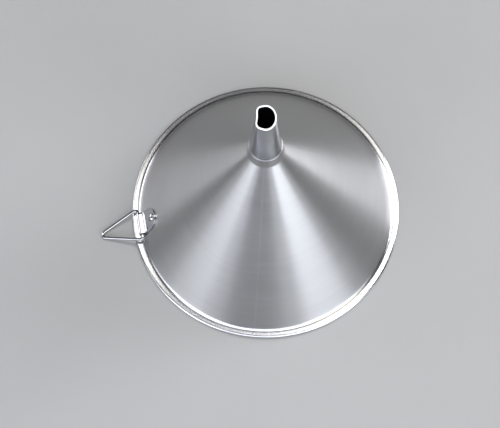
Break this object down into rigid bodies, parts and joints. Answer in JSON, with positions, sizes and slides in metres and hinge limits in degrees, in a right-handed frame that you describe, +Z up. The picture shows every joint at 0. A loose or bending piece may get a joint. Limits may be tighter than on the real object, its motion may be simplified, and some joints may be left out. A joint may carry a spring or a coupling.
{
  "type": "pouring funnel",
  "caption": "Steel kitchen funnel standing mouth down: a cone with a hemmed rim, a narrow slant-cut spout with a vent groove, and a triangular hanging ring on a riveted strap.",
  "frame": {"origin": "centre of the mouth, on the plane that the rim rests on when the funnel stands mouth down", "axes": "+Z up the funnel's axis towards the spout; the hanging ring is on the -X side, less than a degree round towards -Y, and its hinge runs within 3.5 degrees of Y"},
  "size_m": [0.2243, 0.2, 0.1859],
  "materials": {
    "cone_steel": "satin stainless steel, brushed around the axis",
    "seam_steel": "weld ground flush and brushed",
    "spout_steel": "fine satin stainless steel with a polished cut edge",
    "bead_steel": "polished weld",
    "strap_steel": "polished stainless steel",
    "rivet_steel": "polished stainless steel",
    "ring_steel": "bright drawn stainless steel wire"
  },
  "bodies": {
    "funnel": {"cone_body": "cone_steel", "cone_seam_weld": "seam_steel", "spout_tube": "spout_steel", "neck_weld_bead": "bead_steel", "hanger_strap": "strap_steel", "hanger_rivet": "rivet_steel"},
    "ring": {"hanging_ring": "ring_steel"}
  },
  "joints": [
    {"name": "ring_swing", "type": "hinge", "parent": "funnel", "child": "ring", "pos_m": [-0.09425, -0.00136, 0.00759], "axis": [-0.0363, 0.9984, -0.0433], "range_deg": [-22, 136]}
  ]
}
